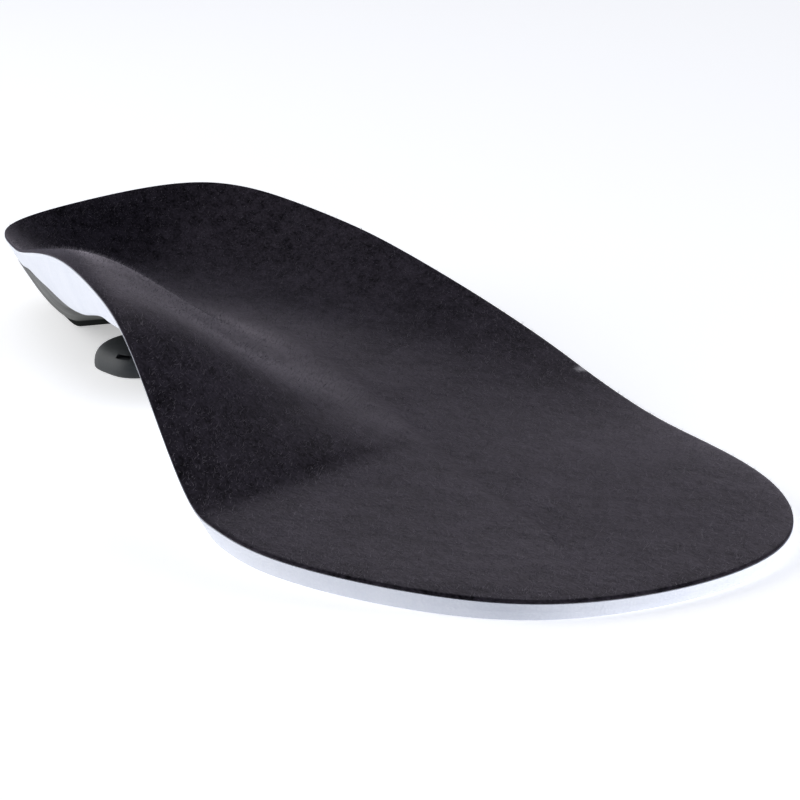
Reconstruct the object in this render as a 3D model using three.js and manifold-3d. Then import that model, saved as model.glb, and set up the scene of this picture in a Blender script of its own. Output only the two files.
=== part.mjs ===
// Cycling insole for the left foot. A thin microfibre cover lies on a moulded foam base, and the base
// sits in a stiff heel shell that bridges forward under the arch and rests there on an arch piece.
// Millimetres, +Z up. The toe points along -Y and the inner, arch side of the foot lies along -X.

import * as THREE from 'three';
import { mergeVertices } from 'three/addons/utils/BufferGeometryUtils.js';
import Module from 'manifold-3d';

// Thicknesses of the layers, and the clearance between them. The shell thickens from its edge over
// this share of the wall.
const coverThickness = 0.9;
const shellThickness = 1.8;
const shellEdgeThickness = 0.8;
const shellTaper = 0.6;
const clearance = 0.3;

// The foam's outer wall: an upright cut edge, then a slope that turns under. A lean of 0 makes the
// slope a quarter round, and a lean of 1 makes it straight.
const wallLean = 0.48;

// The cover's edge rolls down by this power of the way from the spine to the rim.
const rollPower = 10;

// The shell ends this far along the sections. Its front corners turn in over the last stretch, to this
// place across the underside, and its flat heel pad ends under the front of the heel.
const shellFront = 5.5;
const cornerStretch = 0.6;
const cornerReach = 1.3;
const seatShare = 0.02;
const padFront = 2.25;
const padStart = 0.72;

// The arch piece: its middle along and across the sections and the lengths of a step along and across
// there, its half length, half width and turn, its greatest height, and the powers of its rounded
// outline and of its rounded shoulder. Its pull slot's middle, size and turn.
const archMiddle = { along: 4.28, across: 1.49, stepAlong: 33, stepAcross: 36.4 };
const archPiece = { halfLong: 13, halfWide: 10, turn: 0.349, height: 5.9, square: 3.2, shoulder: 2.6 };
const archSlot = { out: 23.3, ahead: 93.4, level: 3.75, width: 3.6, depth: 4, height: 0.7, turn: -1.025 };

// The spine is the line that the sections spring from. A row for each section, heel to toe: how far
// ahead of the heel and out to the arch side it lies, and the heights of the cover and the underside.
const spineColumns = ['ahead', 'out', 'floor', 'keel'];
const spineRows = {
  heelBack: [30, 0, 6.5, 1.2],
  heelCorner: [33, 0, 6.5, 1.2],
  heelSide: [43, -1, 6.5, 1.2],
  heelFront: [58, -2, 6.7, 1.2],
  rearArch: [77, -4, 7.2, 2.2],
  archPeak: [110, -5, 7.8, 3.0],
  archBrow: [132, -4.6, 7.2, 2.5],
  foreArch: [148, -4, 6.5, 1.8],
  frontArch: [162, -3, 5.6, 0.8],
  slopeFoot: [178, -1.5, 4.9, 0.2],
  ball: [191, 0, 4.4, 0],
  toes: [218, 2, 3.6, 0],
  toeSide: [234, 2, 3.2, 0],
  toeTip: [241, 3, 3.0, 0],
};

// The rim on each side. A row for each section: where its edge lies and how high, the power of the
// hollow and how far that is filled out towards the rim, how far the edge rolls down, the height of the
// upright lip and how fully the wall below it bulges, how far in and how high the wall's foot lies, and
// where the shell's edge stands on the wall (0 lip, 1 foot).
const rimColumns = ['out', 'ahead', 'rim', 'cup', 'crown', 'roll', 'lip', 'tuck', 'inset', 'base', 'edge'];
const medialRows = {
  heelBack: [0, 0, 19.0, 3.0, 0.3, 0.9, 0.3, 1, 12, 1.2, 0.24],
  heelCorner: [21.1, 10.7, 17.2, 3.0, 0.3, 0.9, 0.3, 0.95, 13, 1.0, 0.20],
  heelSide: [30.7, 40, 18.4, 2.8, 0.6, 0.9, 0.3, 0.85, 14, 0.8, 0.14],
  heelFront: [33.5, 57, 19.8, 2.5, 1.1, 1.0, 0.3, 0.85, 11.6, 5.0, 0.15],
  rearArch: [36.4, 76, 22.9, 2.2, 1.7, 1.2, 0.6, 0.95, 7.8, 10.9, 0.38],
  archPeak: [40.0, 109, 27.3, 2.1, 2.1, 1.6, 0.8, 1, 4.3, 16.2, 1.02],
  archBrow: [42.5, 138, 27.2, 2.2, 2.0, 1.5, 0.5, 0.8, 3.0, 20.6, 1.05],
  foreArch: [44.4, 160, 24.2, 2.0, 1.9, 1.2, 0.1, 0.8, 7, 19.2, 1.0],
  frontArch: [45.6, 178, 16.0, 1.7, 1.7, 0.8, 0.1, 0.8, 6, 11.2, 0.9],
  slopeFoot: [46.8, 200, 4.8, 1.5, 2.2, 2.4, 0.1, 0.8, 3.2, 1.6, 0.9],
  ball: [47.0, 212, 3.4, 2.0, 0, 0.2, 0.6, 0.9, 1.0, 0, 0.9],
  toes: [44.9, 230.5, 3.4, 2.0, 0, 0.2, 1.2, 1, 0.5, 0, 0.9],
  toeSide: [31.3, 257.5, 3.3, 2.0, 0, 0.2, 1.2, 1, 0.5, 0, 0.9],
  toeTip: [11.7, 270, 2.9, 2.0, 0, 0.2, 1.2, 1, 0.5, 0, 0.9],
};
const lateralRows = {
  heelCorner: [-21.4, 9.9, 22.3, 3.0, 0.3, 0.9, 0.3, 1, 13, 1.2, 0.24],
  heelSide: [-32.1, 38.1, 21.6, 3.0, 0.3, 0.9, 0.3, 1, 13, 1.2, 0.24],
  heelFront: [-34.9, 58, 20.5, 3.0, 0.3, 0.9, 0.3, 1, 12, 1.2, 0.28],
  rearArch: [-36.8, 78, 19.1, 3.0, 0.3, 0.8, 0.4, 1, 11, 1.5, 0.36],
  archPeak: [-39.7, 112, 15.1, 3.0, 0.3, 0.7, 0.6, 1, 8, 2.0, 0.60],
  archBrow: [-41.5, 131.5, 12.1, 3.0, 0.3, 0.6, 0.9, 1, 5.8, 1.6, 0.75],
  foreArch: [-42.7, 146, 9.6, 3.0, 0.3, 0.5, 1.2, 1, 4, 1.0, 0.9],
  frontArch: [-43.4, 159, 7.3, 2.9, 0.2, 0.4, 1.2, 1, 2.6, 0.5, 0.9],
  slopeFoot: [-43.9, 172, 5.4, 2.7, 0.1, 0.3, 1.2, 1, 1.5, 0.2, 0.9],
  ball: [-44.1, 190, 4.1, 2.4, 0, 0.2, 1.2, 1, 0.5, 0, 0.9],
  toes: [-41.8, 227, 3.8, 2.0, 0, 0.2, 1.2, 1, 0.5, 0, 0.9],
  toeSide: [-23.5, 260.6, 2.9, 2.0, 0, 0.2, 1.2, 1, 0.5, 0, 0.9],
};

// How finely the layers are divided: steps per section, and the rings from the spine to the rim.
const stepsPerSection = 4;
const topRings = [0, 0.16, 0.32, 0.47, 0.6, 0.72, 0.83, 0.92, 1];
const wallSteps = 4;
const underSteps = 5;

const materials = {
  microfibre: new THREE.MeshStandardMaterial({ color: 0x2b292d, roughness: 0.95, metalness: 0 }),
  foam: new THREE.MeshStandardMaterial({ color: 0xe4e7ec, roughness: 0.8, metalness: 0 }),
  shell: new THREE.MeshStandardMaterial({ color: 0x2c302f, roughness: 0.4, metalness: 0 }),
  archPiece: new THREE.MeshStandardMaterial({ color: 0x26292b, roughness: 0.4, metalness: 0 }),
};

// Curves through the rows

/** Slopes that make a closed run of cubics through the values smooth in curvature too. */
function smoothSlopes(values, spans) {
  const count = values.length;
  const slopes = values.map(() => 0);
  for (let sweep = 0; sweep < 60; sweep++) {
    for (let k = 0; k < count; k++) {
      const before = (k + count - 1) % count;
      const after = (k + 1) % count;
      const rise = 3 * ((values[k] - values[before]) / spans[before] ** 2
        + (values[after] - values[k]) / spans[k] ** 2);
      const pull = slopes[before] / spans[before] + slopes[after] / spans[k];
      slopes[k] = (rise - pull) / (2 / spans[before] + 2 / spans[k]);
    }
  }
  return slopes;
}

/** Slopes that never carry the curve past its own values: the two steps' harmonic mean, or level. */
function steadySlopes(values, spans, closed) {
  const count = values.length;
  return values.map((value, k) => {
    if (!closed && (k === 0 || k === count - 1)) {
      const span = k === 0 ? 0 : count - 2;
      return (values[span + 1] - values[span]) / spans[span];
    }
    const before = (k + count - 1) % count;
    const last = (value - values[before]) / spans[before];
    const next = (values[(k + 1) % count] - value) / spans[k];
    return last * next > 0 ? (2 * last * next) / (last + next) : 0;
  });
}

/** A function that gives the named columns at any place along the rows. */
function curve(rows, columns, spans, closed, smoothColumns) {
  const tracks = columns.map((column, index) => {
    const values = rows.map((row) => row[index]);
    const smooth = smoothColumns.includes(column);
    const slopes = smooth ? smoothSlopes(values, spans) : steadySlopes(values, spans, closed);
    return { column, values, slopes };
  });
  return (place) => {
    const last = closed ? rows.length - 1 : rows.length - 2;
    const k = Math.min(Math.floor(place), last);
    const t = place - k;
    const next = (k + 1) % rows.length;
    const at = {};
    for (const { column, values, slopes } of tracks) {
      const blend = t * t * (3 - 2 * t);
      const leave = slopes[k] * spans[k] * t * (1 - t) ** 2;
      const arrive = slopes[next] * spans[k] * t * t * (1 - t);
      at[column] = values[k] + (values[next] - values[k]) * blend + leave - arrive;
    }
    return at;
  };
}

const rimLoop = [...Object.values(medialRows), ...Object.values(lateralRows).reverse()];
const rimSpans = rimLoop.map((row, k) => {
  const next = rimLoop[(k + 1) % rimLoop.length];
  return Math.sqrt(Math.hypot(next[0] - row[0], next[1] - row[1]));
});
const spineLine = Object.values(spineRows);
const rimAt = curve(rimLoop, rimColumns, rimSpans, true, ['out', 'ahead', 'rim']);
const spineAt = curve(spineLine, spineColumns, spineLine.map(() => 1), false, []);
const toe = spineLine.length - 1;

/** The section at a place along one side: its rim columns, and its spine's under the name spine. */
function section(side, place) {
  const loop = side === 'medial' ? place : (rimLoop.length - place) % rimLoop.length;
  const at = rimAt(loop);
  const turn = THREE.MathUtils.clamp(1 - (shellFront - place) / cornerStretch, 0, 1);
  at.edge += (cornerReach - at.edge) * (1 - Math.sqrt(1 - turn * turn));
  return { ...at, spine: spineAt(place) };
}

// Surfaces

/** A point of the cover's top, from the spine at 0 to the rim at 1, moved down by some depth. */
function topPoint(at, across, depth) {
  const { spine } = at;
  const fill = across ** at.cup * (1 + at.crown * (1 - across));
  const height = spine.floor + (at.rim + at.roll - spine.floor) * fill - at.roll * across ** rollPower;
  return new THREE.Vector3(
    THREE.MathUtils.lerp(spine.out, at.out, across),
    THREE.MathUtils.lerp(spine.ahead, at.ahead, across),
    height - depth,
  );
}

/** The outer section: 0 under the lip, 1 at the wall's foot, 2 at the spine, as a way in and a height. */
function outerSection(at, across) {
  const { spine } = at;
  const reach = Math.hypot(at.out - spine.out, at.ahead - spine.ahead);
  const lip = at.rim - coverThickness - clearance - at.lip;
  const angle = THREE.MathUtils.clamp(across, 0, 1) * Math.PI / 2;
  const beyond = THREE.MathUtils.clamp(across - 1, 0, 1);
  const slope = wallLean * Math.sin(angle) ** at.tuck + (1 - wallLean) * (1 - Math.cos(angle));
  const hollow = beyond * beyond * (3 - 2 * beyond);
  return {
    way: at.inset * slope + (reach - at.inset) * beyond,
    height: lip - (lip - at.base) * Math.sin(angle) - (at.base - spine.keel) * hollow,
    reach,
  };
}

/** A point of the wall and underside, moved into the layers by some depth square to the section. */
function underPoint(at, across, depth) {
  const { spine } = at;
  if (across >= 2) return new THREE.Vector3(spine.out, spine.ahead, spine.keel + depth);
  const { way, height, reach } = outerSection(at, across);
  const step = 0.001;
  const from = outerSection(at, Math.max(across - step, 0));
  const to = outerSection(at, Math.min(across + step, 2));
  const along = new THREE.Vector2(to.way - from.way, to.height - from.height).normalize();
  const share = (way - along.y * depth) / reach;
  return new THREE.Vector3(
    THREE.MathUtils.lerp(at.out, spine.out, share),
    THREE.MathUtils.lerp(at.ahead, spine.ahead, share),
    height + along.x * depth,
  );
}

/** The shell's thickness at a place on its section. */
function shellDepth(at, across) {
  const share = THREE.MathUtils.clamp((across - at.edge) / shellTaper, 0, 1);
  return THREE.MathUtils.lerp(shellEdgeThickness, shellThickness, share);
}

const steps = (count) => Array.from({ length: count + 1 }, (_, k) => k / count);
const wallPlaces = (at) => steps(wallSteps).map((t) => at.edge * t);
const underPlaces = (at, start) => steps(underSteps).map((t) => start + (2 - start) * t);

// Solids

/** A closed solid from lines of points: strips between each line and the next, each four-sided patch
 * split along its shorter diagonal, so that layers that follow each other fold alike. */
function solid(lines, extraStrips = []) {
  const positions = [];
  for (const strip of [lines, ...extraStrips]) {
    for (let j = 0; j + 1 < strip.length; j++) {
      for (let k = 0; k + 1 < strip[j].length; k++) {
        const corners = [strip[j][k], strip[j][k + 1], strip[j + 1][k + 1], strip[j + 1][k]];
        const level = corners[0].distanceTo(corners[2]) < corners[1].distanceTo(corners[3]);
        const order = level ? [0, 1, 2, 0, 2, 3] : [0, 1, 3, 1, 2, 3];
        for (const corner of order) positions.push(...corners[corner].toArray());
      }
    }
  }
  const loose = new THREE.BufferGeometry();
  loose.setAttribute('position', new THREE.Float32BufferAttribute(positions, 3));
  const merged = mergeVertices(loose, 1e-3);
  const index = Array.from(merged.index.array);
  const kept = [];
  for (let n = 0; n < index.length; n += 3) {
    const [a, b, c] = index.slice(n, n + 3);
    if (a !== b && b !== c && c !== a) kept.push(a, b, c);
  }
  merged.setIndex(kept);
  merged.computeVertexNormals();
  return merged;
}

const sectionPlaces = Array.from({ length: toe * stepsPerSection + 1 }, (_, k) => k / stepsPerSection);
const cornerPlaces = [0.75, 0.5, 0.28, 0.12, 0].map((share) => shellFront - cornerStretch * share);
const shellPlaces = [...sectionPlaces.filter((place) => place < cornerPlaces[0]), ...cornerPlaces];
const ledgeFront = shellFront + 0.01;
const framePlaces = [
  ...shellPlaces,
  ledgeFront,
  ...sectionPlaces.filter((place) => place > ledgeFront),
];

/** A ring of lines, one for each section round the rim: medial heel to toe, lateral toe to heel. */
function roundTheRim(lineAt) {
  const medial = framePlaces.flatMap((place) => lineAt(section('medial', place), place));
  const lateral = framePlaces.flatMap((place) => lineAt(section('lateral', place), place));
  return [...medial, ...lateral.reverse()];
}

function topCover() {
  return solid(roundTheRim((at) => [[
    ...topRings.map((across) => topPoint(at, across, 0)),
    ...topRings.toReversed().map((across) => topPoint(at, across, coverThickness)),
  ]]));
}

/** The foam fills the form from the cover to the outer wall, and steps in above the shell. */
function foamBase() {
  const line = (at, overShell) => [
    ...topRings.map((across) => topPoint(at, across, coverThickness + clearance)),
    ...wallPlaces(at).map((across) => underPoint(at, across, 0)),
    ...underPlaces(at, at.edge).map((across) => (
      underPoint(at, across, overShell ? shellDepth(at, across) + clearance : 0)
    )),
  ];
  return solid(roundTheRim((at, place) => {
    if (place < ledgeFront) return [line(at, true)];
    if (place === ledgeFront) return [line(at, true), line(at, false)];
    return [line(at, false)];
  }));
}

/** The shell lines the wall below the foam's ledge and the underside, with a flat pad at the heel. */
function heelShell() {
  const line = (at, padded) => {
    const places = underPlaces(at, at.edge + seatShare);
    const outer = places.map((across) => {
      const point = underPoint(at, across, 0);
      const drop = padded ? THREE.MathUtils.smoothstep(across, padStart, 1) : 0;
      return point.setZ(point.z * (1 - drop));
    });
    const inner = places.map((across) => underPoint(at, across, shellDepth(at, across)));
    return [...inner.reverse(), ...outer];
  };
  const side = (name) => shellPlaces.flatMap((place) => {
    const at = section(name, place);
    if (place < padFront) return [line(at, true)];
    if (place === padFront) return [line(at, true), line(at, false)];
    return [line(at, false)];
  });
  const lines = [...side('lateral').reverse(), ...side('medial')];
  const half = underSteps + 1;
  const frontFace = (ring) => [ring.slice(0, half), ring.slice(half).reverse()];
  const lateralFace = frontFace(lines[0]).reverse();
  return solid(lines, [lateralFace, frontFace(lines.at(-1))]);
}

/** The arch piece: a squarish plug on the ground, turned across the foot, with rounded shoulders and a
 * top that stays under the shell. */
function archPlug() {
  const sides = 32;
  const lifts = 8;
  const { halfLong, halfWide, turn, height, square, shoulder } = archPiece;
  const bulge = (wave, power) => Math.sign(wave) * Math.abs(wave) ** (2 / power);
  const lines = steps(sides).map((round) => {
    const angle = -2 * Math.PI * (round % 1);
    const rings = steps(lifts).map((lift) => ({
      size: bulge(Math.cos(lift * Math.PI / 2), shoulder),
      share: bulge(Math.sin(lift * Math.PI / 2), shoulder),
    }));
    return [{ size: 0, share: 0 }, ...rings].map(({ size, share }) => {
      const long = halfLong * size * bulge(Math.cos(angle), square);
      const wide = halfWide * size * bulge(Math.sin(angle), square);
      const ahead = long * Math.sin(turn) + wide * Math.cos(turn);
      const out = long * Math.cos(turn) - wide * Math.sin(turn);
      const at = section('medial', archMiddle.along + ahead / archMiddle.stepAlong);
      const point = underPoint(at, archMiddle.across - out / archMiddle.stepAcross, 0);
      const head = Math.min(height, point.z - 2 * clearance);
      return point.setZ(head * share);
    });
  });
  return solid(lines);
}

const wasm = await Module();
wasm.setup();

function toManifold(geometry) {
  const plain = geometry.clone();
  plain.deleteAttribute('normal');
  plain.deleteAttribute('uv');
  const merged = mergeVertices(plain, 1e-4);
  return new wasm.Manifold(new wasm.Mesh({
    numProp: 3,
    vertProperties: new Float32Array(merged.attributes.position.array),
    triVerts: new Uint32Array(merged.index.array),
  }));
}

function cut(geometry, cutter) {
  const { vertProperties, triVerts } = toManifold(geometry).subtract(toManifold(cutter)).getMesh();
  const result = new THREE.BufferGeometry();
  result.setAttribute('position', new THREE.Float32BufferAttribute(vertProperties, 3));
  result.setIndex(Array.from(triVerts));
  result.computeVertexNormals();
  return result;
}

/** The pull slot in the nose of the arch piece, on the side that faces forward. */
function slotCutter() {
  const slot = new THREE.BoxGeometry(archSlot.width, archSlot.depth, archSlot.height);
  slot.rotateZ(archSlot.turn);
  slot.translate(archSlot.out, archSlot.ahead, archSlot.level);
  return slot;
}

// Assembly

function addMesh(group, name, geometry, material) {
  const mesh = new THREE.Mesh(geometry, material);
  mesh.name = name;
  group.add(mesh);
}

const insole = new THREE.Group();
addMesh(insole, 'top_cover', topCover(), materials.microfibre);
addMesh(insole, 'foam_base', foamBase(), materials.foam);
addMesh(insole, 'heel_shell', heelShell(), materials.shell);
addMesh(insole, 'arch_piece', cut(archPlug(), slotCutter()), materials.archPiece);

// The foot's own frame is turned about, so that the toe points forward, and centred on the ground.
insole.rotation.z = Math.PI;
const box = new THREE.Box3().setFromObject(insole);
const middle = box.getCenter(new THREE.Vector3());
insole.position.set(-middle.x, -middle.y, -box.min.z);

const part = new THREE.Group();
part.add(insole);

export default part;
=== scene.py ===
"""Cycling insole for the left foot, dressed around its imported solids.

A brushed microfibre cover with loose fibres lies on a moulded foam bed, the bed sits in a stiff heel
shell, and an arch piece stands under the bridge of the shell. All layers follow one family of sections:
each springs from a spine down the middle of the foot, runs out to the rim, and turns under it back to
the spine.
"""

from types import SimpleNamespace

import bmesh
import bpy
import numpy as np
from mathutils import Matrix, Vector


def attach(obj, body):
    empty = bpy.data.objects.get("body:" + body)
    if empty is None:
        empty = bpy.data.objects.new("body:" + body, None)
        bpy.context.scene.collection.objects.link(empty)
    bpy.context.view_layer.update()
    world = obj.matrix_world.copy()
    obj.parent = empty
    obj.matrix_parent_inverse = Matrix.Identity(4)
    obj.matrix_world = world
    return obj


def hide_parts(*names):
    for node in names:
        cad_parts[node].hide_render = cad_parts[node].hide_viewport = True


bl_info = {
    "name": "Cycling insole",
    "version": (1, 0, 0),
    "blender": (4, 5, 0),
    "location": "3D View > Sidebar > Insole",
    "description": "Builds a cycling insole: cover, nap, foam bed, heel shell and arch piece",
    "category": "Object",
}

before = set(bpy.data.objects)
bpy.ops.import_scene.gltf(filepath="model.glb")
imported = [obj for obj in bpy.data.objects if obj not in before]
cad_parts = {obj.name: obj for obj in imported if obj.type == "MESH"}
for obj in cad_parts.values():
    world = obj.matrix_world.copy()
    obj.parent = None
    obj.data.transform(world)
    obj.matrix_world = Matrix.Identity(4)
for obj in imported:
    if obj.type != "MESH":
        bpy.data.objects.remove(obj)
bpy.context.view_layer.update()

MM = 0.001

# The spine that the sections spring from, heel to toe: how far ahead of the heel and out to the arch
# side it lies, and the heights of the cover and of the underside there, in millimetres.
SPINE_COLUMNS = ("spine_ahead", "spine_out", "floor", "keel")
SPINE_ROWS = {
    "heel_back": (30, 0, 6.5, 1.2),
    "heel_corner": (33, 0, 6.5, 1.2),
    "heel_side": (43, -1, 6.5, 1.2),
    "heel_front": (58, -2, 6.7, 1.2),
    "rear_arch": (77, -4, 7.2, 2.2),
    "arch_peak": (110, -5, 7.8, 3.0),
    "arch_brow": (132, -4.6, 7.2, 2.5),
    "fore_arch": (148, -4, 6.5, 1.8),
    "front_arch": (162, -3, 5.6, 0.8),
    "slope_foot": (178, -1.5, 4.9, 0.2),
    "ball": (191, 0, 4.4, 0),
    "toes": (218, 2, 3.6, 0),
    "toe_side": (234, 2, 3.2, 0),
    "toe_tip": (241, 3, 3.0, 0),
}

# The rim on each side: where its edge lies and how high, the power of the hollow and how far that is
# filled out towards the rim, how far the edge rolls down, the height of the upright lip and how fully
# the wall below it bulges, how far in and how high the wall's foot lies, and where the shell's edge
# stands on the wall, from 0 at the lip to 1 at the foot. The first few columns run smooth in curvature.
RIM_COLUMNS = ("out", "ahead", "rim", "cup", "crown", "roll", "lip", "tuck", "inset", "base", "edge")
SMOOTH_COLUMNS = 3
ARCH_SIDE_ROWS = {
    "heel_back": (0, 0, 19.0, 3.0, 0.3, 0.9, 0.3, 1, 12, 1.2, 0.24),
    "heel_corner": (21.1, 10.7, 17.2, 3.0, 0.3, 0.9, 0.3, 0.95, 13, 1.0, 0.20),
    "heel_side": (30.7, 40, 18.4, 2.8, 0.6, 0.9, 0.3, 0.85, 14, 0.8, 0.14),
    "heel_front": (33.5, 57, 19.8, 2.5, 1.1, 1.0, 0.3, 0.85, 11.6, 5.0, 0.15),
    "rear_arch": (36.4, 76, 22.9, 2.2, 1.7, 1.2, 0.6, 0.95, 7.8, 10.9, 0.38),
    "arch_peak": (40.0, 109, 27.3, 2.1, 2.1, 1.6, 0.8, 1, 4.3, 16.2, 1.02),
    "arch_brow": (42.5, 138, 27.2, 2.2, 2.0, 1.5, 0.5, 0.8, 3.0, 20.6, 1.05),
    "fore_arch": (44.4, 160, 24.2, 2.0, 1.9, 1.2, 0.1, 0.8, 7, 19.2, 1.0),
    "front_arch": (45.6, 178, 16.0, 1.7, 1.7, 0.8, 0.1, 0.8, 6, 11.2, 0.9),
    "slope_foot": (46.8, 200, 4.8, 1.5, 2.2, 2.4, 0.1, 0.8, 3.2, 1.6, 0.9),
    "ball": (47.0, 212, 3.4, 2.0, 0, 0.2, 0.6, 0.9, 1.0, 0, 0.9),
    "toes": (44.9, 230.5, 3.4, 2.0, 0, 0.2, 1.2, 1, 0.5, 0, 0.9),
    "toe_side": (31.3, 257.5, 3.3, 2.0, 0, 0.2, 1.2, 1, 0.5, 0, 0.9),
    "toe_tip": (11.7, 270, 2.9, 2.0, 0, 0.2, 1.2, 1, 0.5, 0, 0.9),
}
OUTER_SIDE_ROWS = {
    "heel_corner": (-21.4, 9.9, 22.3, 3.0, 0.3, 0.9, 0.3, 1, 13, 1.2, 0.24),
    "heel_side": (-32.1, 38.1, 21.6, 3.0, 0.3, 0.9, 0.3, 1, 13, 1.2, 0.24),
    "heel_front": (-34.9, 58, 20.5, 3.0, 0.3, 0.9, 0.3, 1, 12, 1.2, 0.28),
    "rear_arch": (-36.8, 78, 19.1, 3.0, 0.3, 0.8, 0.4, 1, 11, 1.5, 0.36),
    "arch_peak": (-39.7, 112, 15.1, 3.0, 0.3, 0.7, 0.6, 1, 8, 2.0, 0.60),
    "arch_brow": (-41.5, 131.5, 12.1, 3.0, 0.3, 0.6, 0.9, 1, 5.8, 1.6, 0.75),
    "fore_arch": (-42.7, 146, 9.6, 3.0, 0.3, 0.5, 1.2, 1, 4, 1.0, 0.9),
    "front_arch": (-43.4, 159, 7.3, 2.9, 0.2, 0.4, 1.2, 1, 2.6, 0.5, 0.9),
    "slope_foot": (-43.9, 172, 5.4, 2.7, 0.1, 0.3, 1.2, 1, 1.5, 0.2, 0.9),
    "ball": (-44.1, 190, 4.1, 2.4, 0, 0.2, 1.2, 1, 0.5, 0, 0.9),
    "toes": (-41.8, 227, 3.8, 2.0, 0, 0.2, 1.2, 1, 0.5, 0, 0.9),
    "toe_side": (-23.5, 260.6, 2.9, 2.0, 0, 0.2, 1.2, 1, 0.5, 0, 0.9),
}

# The share of the wall's way in that leans and doesn't bulge, and the power that keeps the roll of the
# cover to its edge.
WALL_LEAN = 0.48
ROLL_POWER = 10

# The shell's front, the stretch over which its corners turn in to a place across the underside, where
# the ledge above it ends, just ahead of it, and the share of the wall over which it thickens from its
# edge. Then the front of the pad under its heel, the stretch over which the pad ends there, and where it
# starts across the section.
SHELL_FRONT = 5.5
CORNER_STRETCH = 0.6
CORNER_REACH = 1.3
LEDGE_FRONT = SHELL_FRONT + 0.01
SHELL_TAPER = 0.6
PAD_FRONT = 2.25
PAD_END = 0.03
PAD_START = 0.72

# The arch piece: its middle along and across the sections and the lengths of a step along and across
# there, its half length, half width and turn, the powers of its rounded outline and shoulder, and the
# gap above it. Then the middle, size and turn of the slot in its nose.
ARCH_ALONG = 4.28
ARCH_ACROSS = 1.49
ARCH_STEP_ALONG = 33.0
ARCH_STEP_ACROSS = 36.4
ARCH_HALF_LONG = 13.0
ARCH_HALF_WIDE = 10.0
ARCH_TURN = 0.349
ARCH_SQUARE = 3.5
ARCH_SHOULDER = 3.2
ARCH_GAP = 0.3
SLOT_MIDDLE = (23.3, 93.4, 3.75)
SLOT_SIZE = (3.6, 4.0, 0.7)
SLOT_TURN = -1.025

# The camera of the photograph in foot millimetres: 0 at the heel's back, out to the arch side, ahead
# to the toe, and up. Then its lens and the width of its sensor in millimetres, and the nearest that it
# sees in metres.
CAMERA_PLACE = (189.79, 632.81, 128.37)
CAMERA_YAW = np.radians(22.5)
CAMERA_PITCH = np.radians(13.42)
CAMERA_ROLL = np.radians(-1.05)
CAMERA_LENS = 135.0
SENSOR_WIDTH = 36.0
CAMERA_NEAR = 0.01


def linear(hex_colour):
    """An sRGB hex value as linear red, green and blue, by the standard's own curve."""
    parts = np.array([int(hex_colour[k : k + 2], 16) for k in (1, 3, 5)]) / 255
    return np.where(parts <= 0.04045, parts / 12.92, ((parts + 0.055) / 1.055) ** 2.4).tolist()


def length_property(label, text, default):
    """A length that a user may change, kept in metres and given here in millimetres."""
    return bpy.props.FloatProperty(
        name=label, description=text, default=default * MM, min=0.0, unit="LENGTH", precision=5
    )


def colour_property(label, text, default):
    """A colour that a user may change, given as an sRGB hex value."""
    return bpy.props.FloatVectorProperty(
        name=label, description=text, default=linear(default), size=3, min=0.0, max=1.0, subtype="COLOR"
    )


class InsoleSizes(bpy.types.PropertyGroup):
    """Sizes of the layers and of the nap's loose fibres."""

    cover_thickness: length_property("Cover thickness", "Thickness of the microfibre cover", 0.55)
    layer_gap: length_property("Layer gap", "Air between bonded layers", 0.03)
    shell_thickness: length_property("Shell thickness", "Thickness of the heel shell", 1.8)
    shell_edge: length_property("Shell edge", "Thickness of the heel shell at its edge", 0.8)
    arch_height: length_property("Arch piece height", "Greatest height of the arch piece", 5.9)
    fibre_length: length_property("Fibre length", "Mean length of the nap's loose fibres", 0.7)
    fibre_width: length_property("Fibre width", "Width of a loose fibre at its root", 0.07)
    fibre_count: bpy.props.IntProperty(
        name="Fibre count", description="Number of loose fibres over the cover", default=42000, min=0
    )


class InsoleColours(bpy.types.PropertyGroup):
    """Colours of the layers, the floor and the light."""

    nap_dark: colour_property("Nap, dark", "Microfibre where the nap lies away", "#0b0a0d")
    nap_light: colour_property("Nap, light", "Microfibre where the nap stands up", "#332f36")
    nap_sheen: colour_property("Nap sheen", "Tint of the light caught by the fibres' tips", "#d8d0dc")
    # Painted sheen: the pale given to the loose fibres stands in for the light their tips catch.
    fibre_painted_sheen: colour_property("Loose fibres", "The palest loose fibres of the nap", "#8a858d")
    scuff: colour_property("Scuff", "Rubbed place on the cover's edge", "#a5a2a4")
    foam_white: colour_property("Foam", "Body colour of the foam", "#e4e6ec")
    foam_shade: colour_property("Foam, shade", "Foam in its cells and pressed places", "#d2d6e0")
    shell_grey: colour_property("Shell", "Body colour of the shell", "#1f2322")
    # Painted shade in the hollows of the shell's grain, mixed with the real tone of its flow marks.
    shell_flow_and_grain_shade: colour_property("Shell, dark", "Shell in the hollows of its grain", "#161918")
    arch_grey: colour_property("Arch piece", "Body colour of the arch piece", "#3a3d3f")
    # Painted shade in the hollows of the arch piece's grain, mixed with the real tone of its flow marks.
    arch_flow_and_grain_shade: colour_property("Arch piece, dark", "Arch piece in the hollows of its grain", "#2d3032")
    floor_pale: colour_property("Floor", "Pale studio floor", "#f6f6f6")
    sky_front: colour_property("Front light", "Tint of the dim light in front", "#c6d3f6")
    sky_back: colour_property("Back light", "Tint of the soft light from behind", "#ffffff")


# Curves through the rows


def smooth_slopes(values, spans):
    """Slopes that make a closed run of cubics smooth in curvature too: for each row, the slopes before,
    at and after it, weighted 1, 2 and 1 over the spans, equal three times the steps over the spans
    squared."""
    before = (1 / np.roll(spans, 1))[:, None]
    after = (1 / spans)[:, None]
    same = np.eye(len(values))
    system = 2 * (before + after) * same
    system += before * np.roll(same, -1, axis=1) + after * np.roll(same, 1, axis=1)
    last_step = values - np.roll(values, 1, axis=0)
    next_step = np.roll(values, -1, axis=0) - values
    return np.linalg.solve(system, 3 * (before**2 * last_step + after**2 * next_step))


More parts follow.
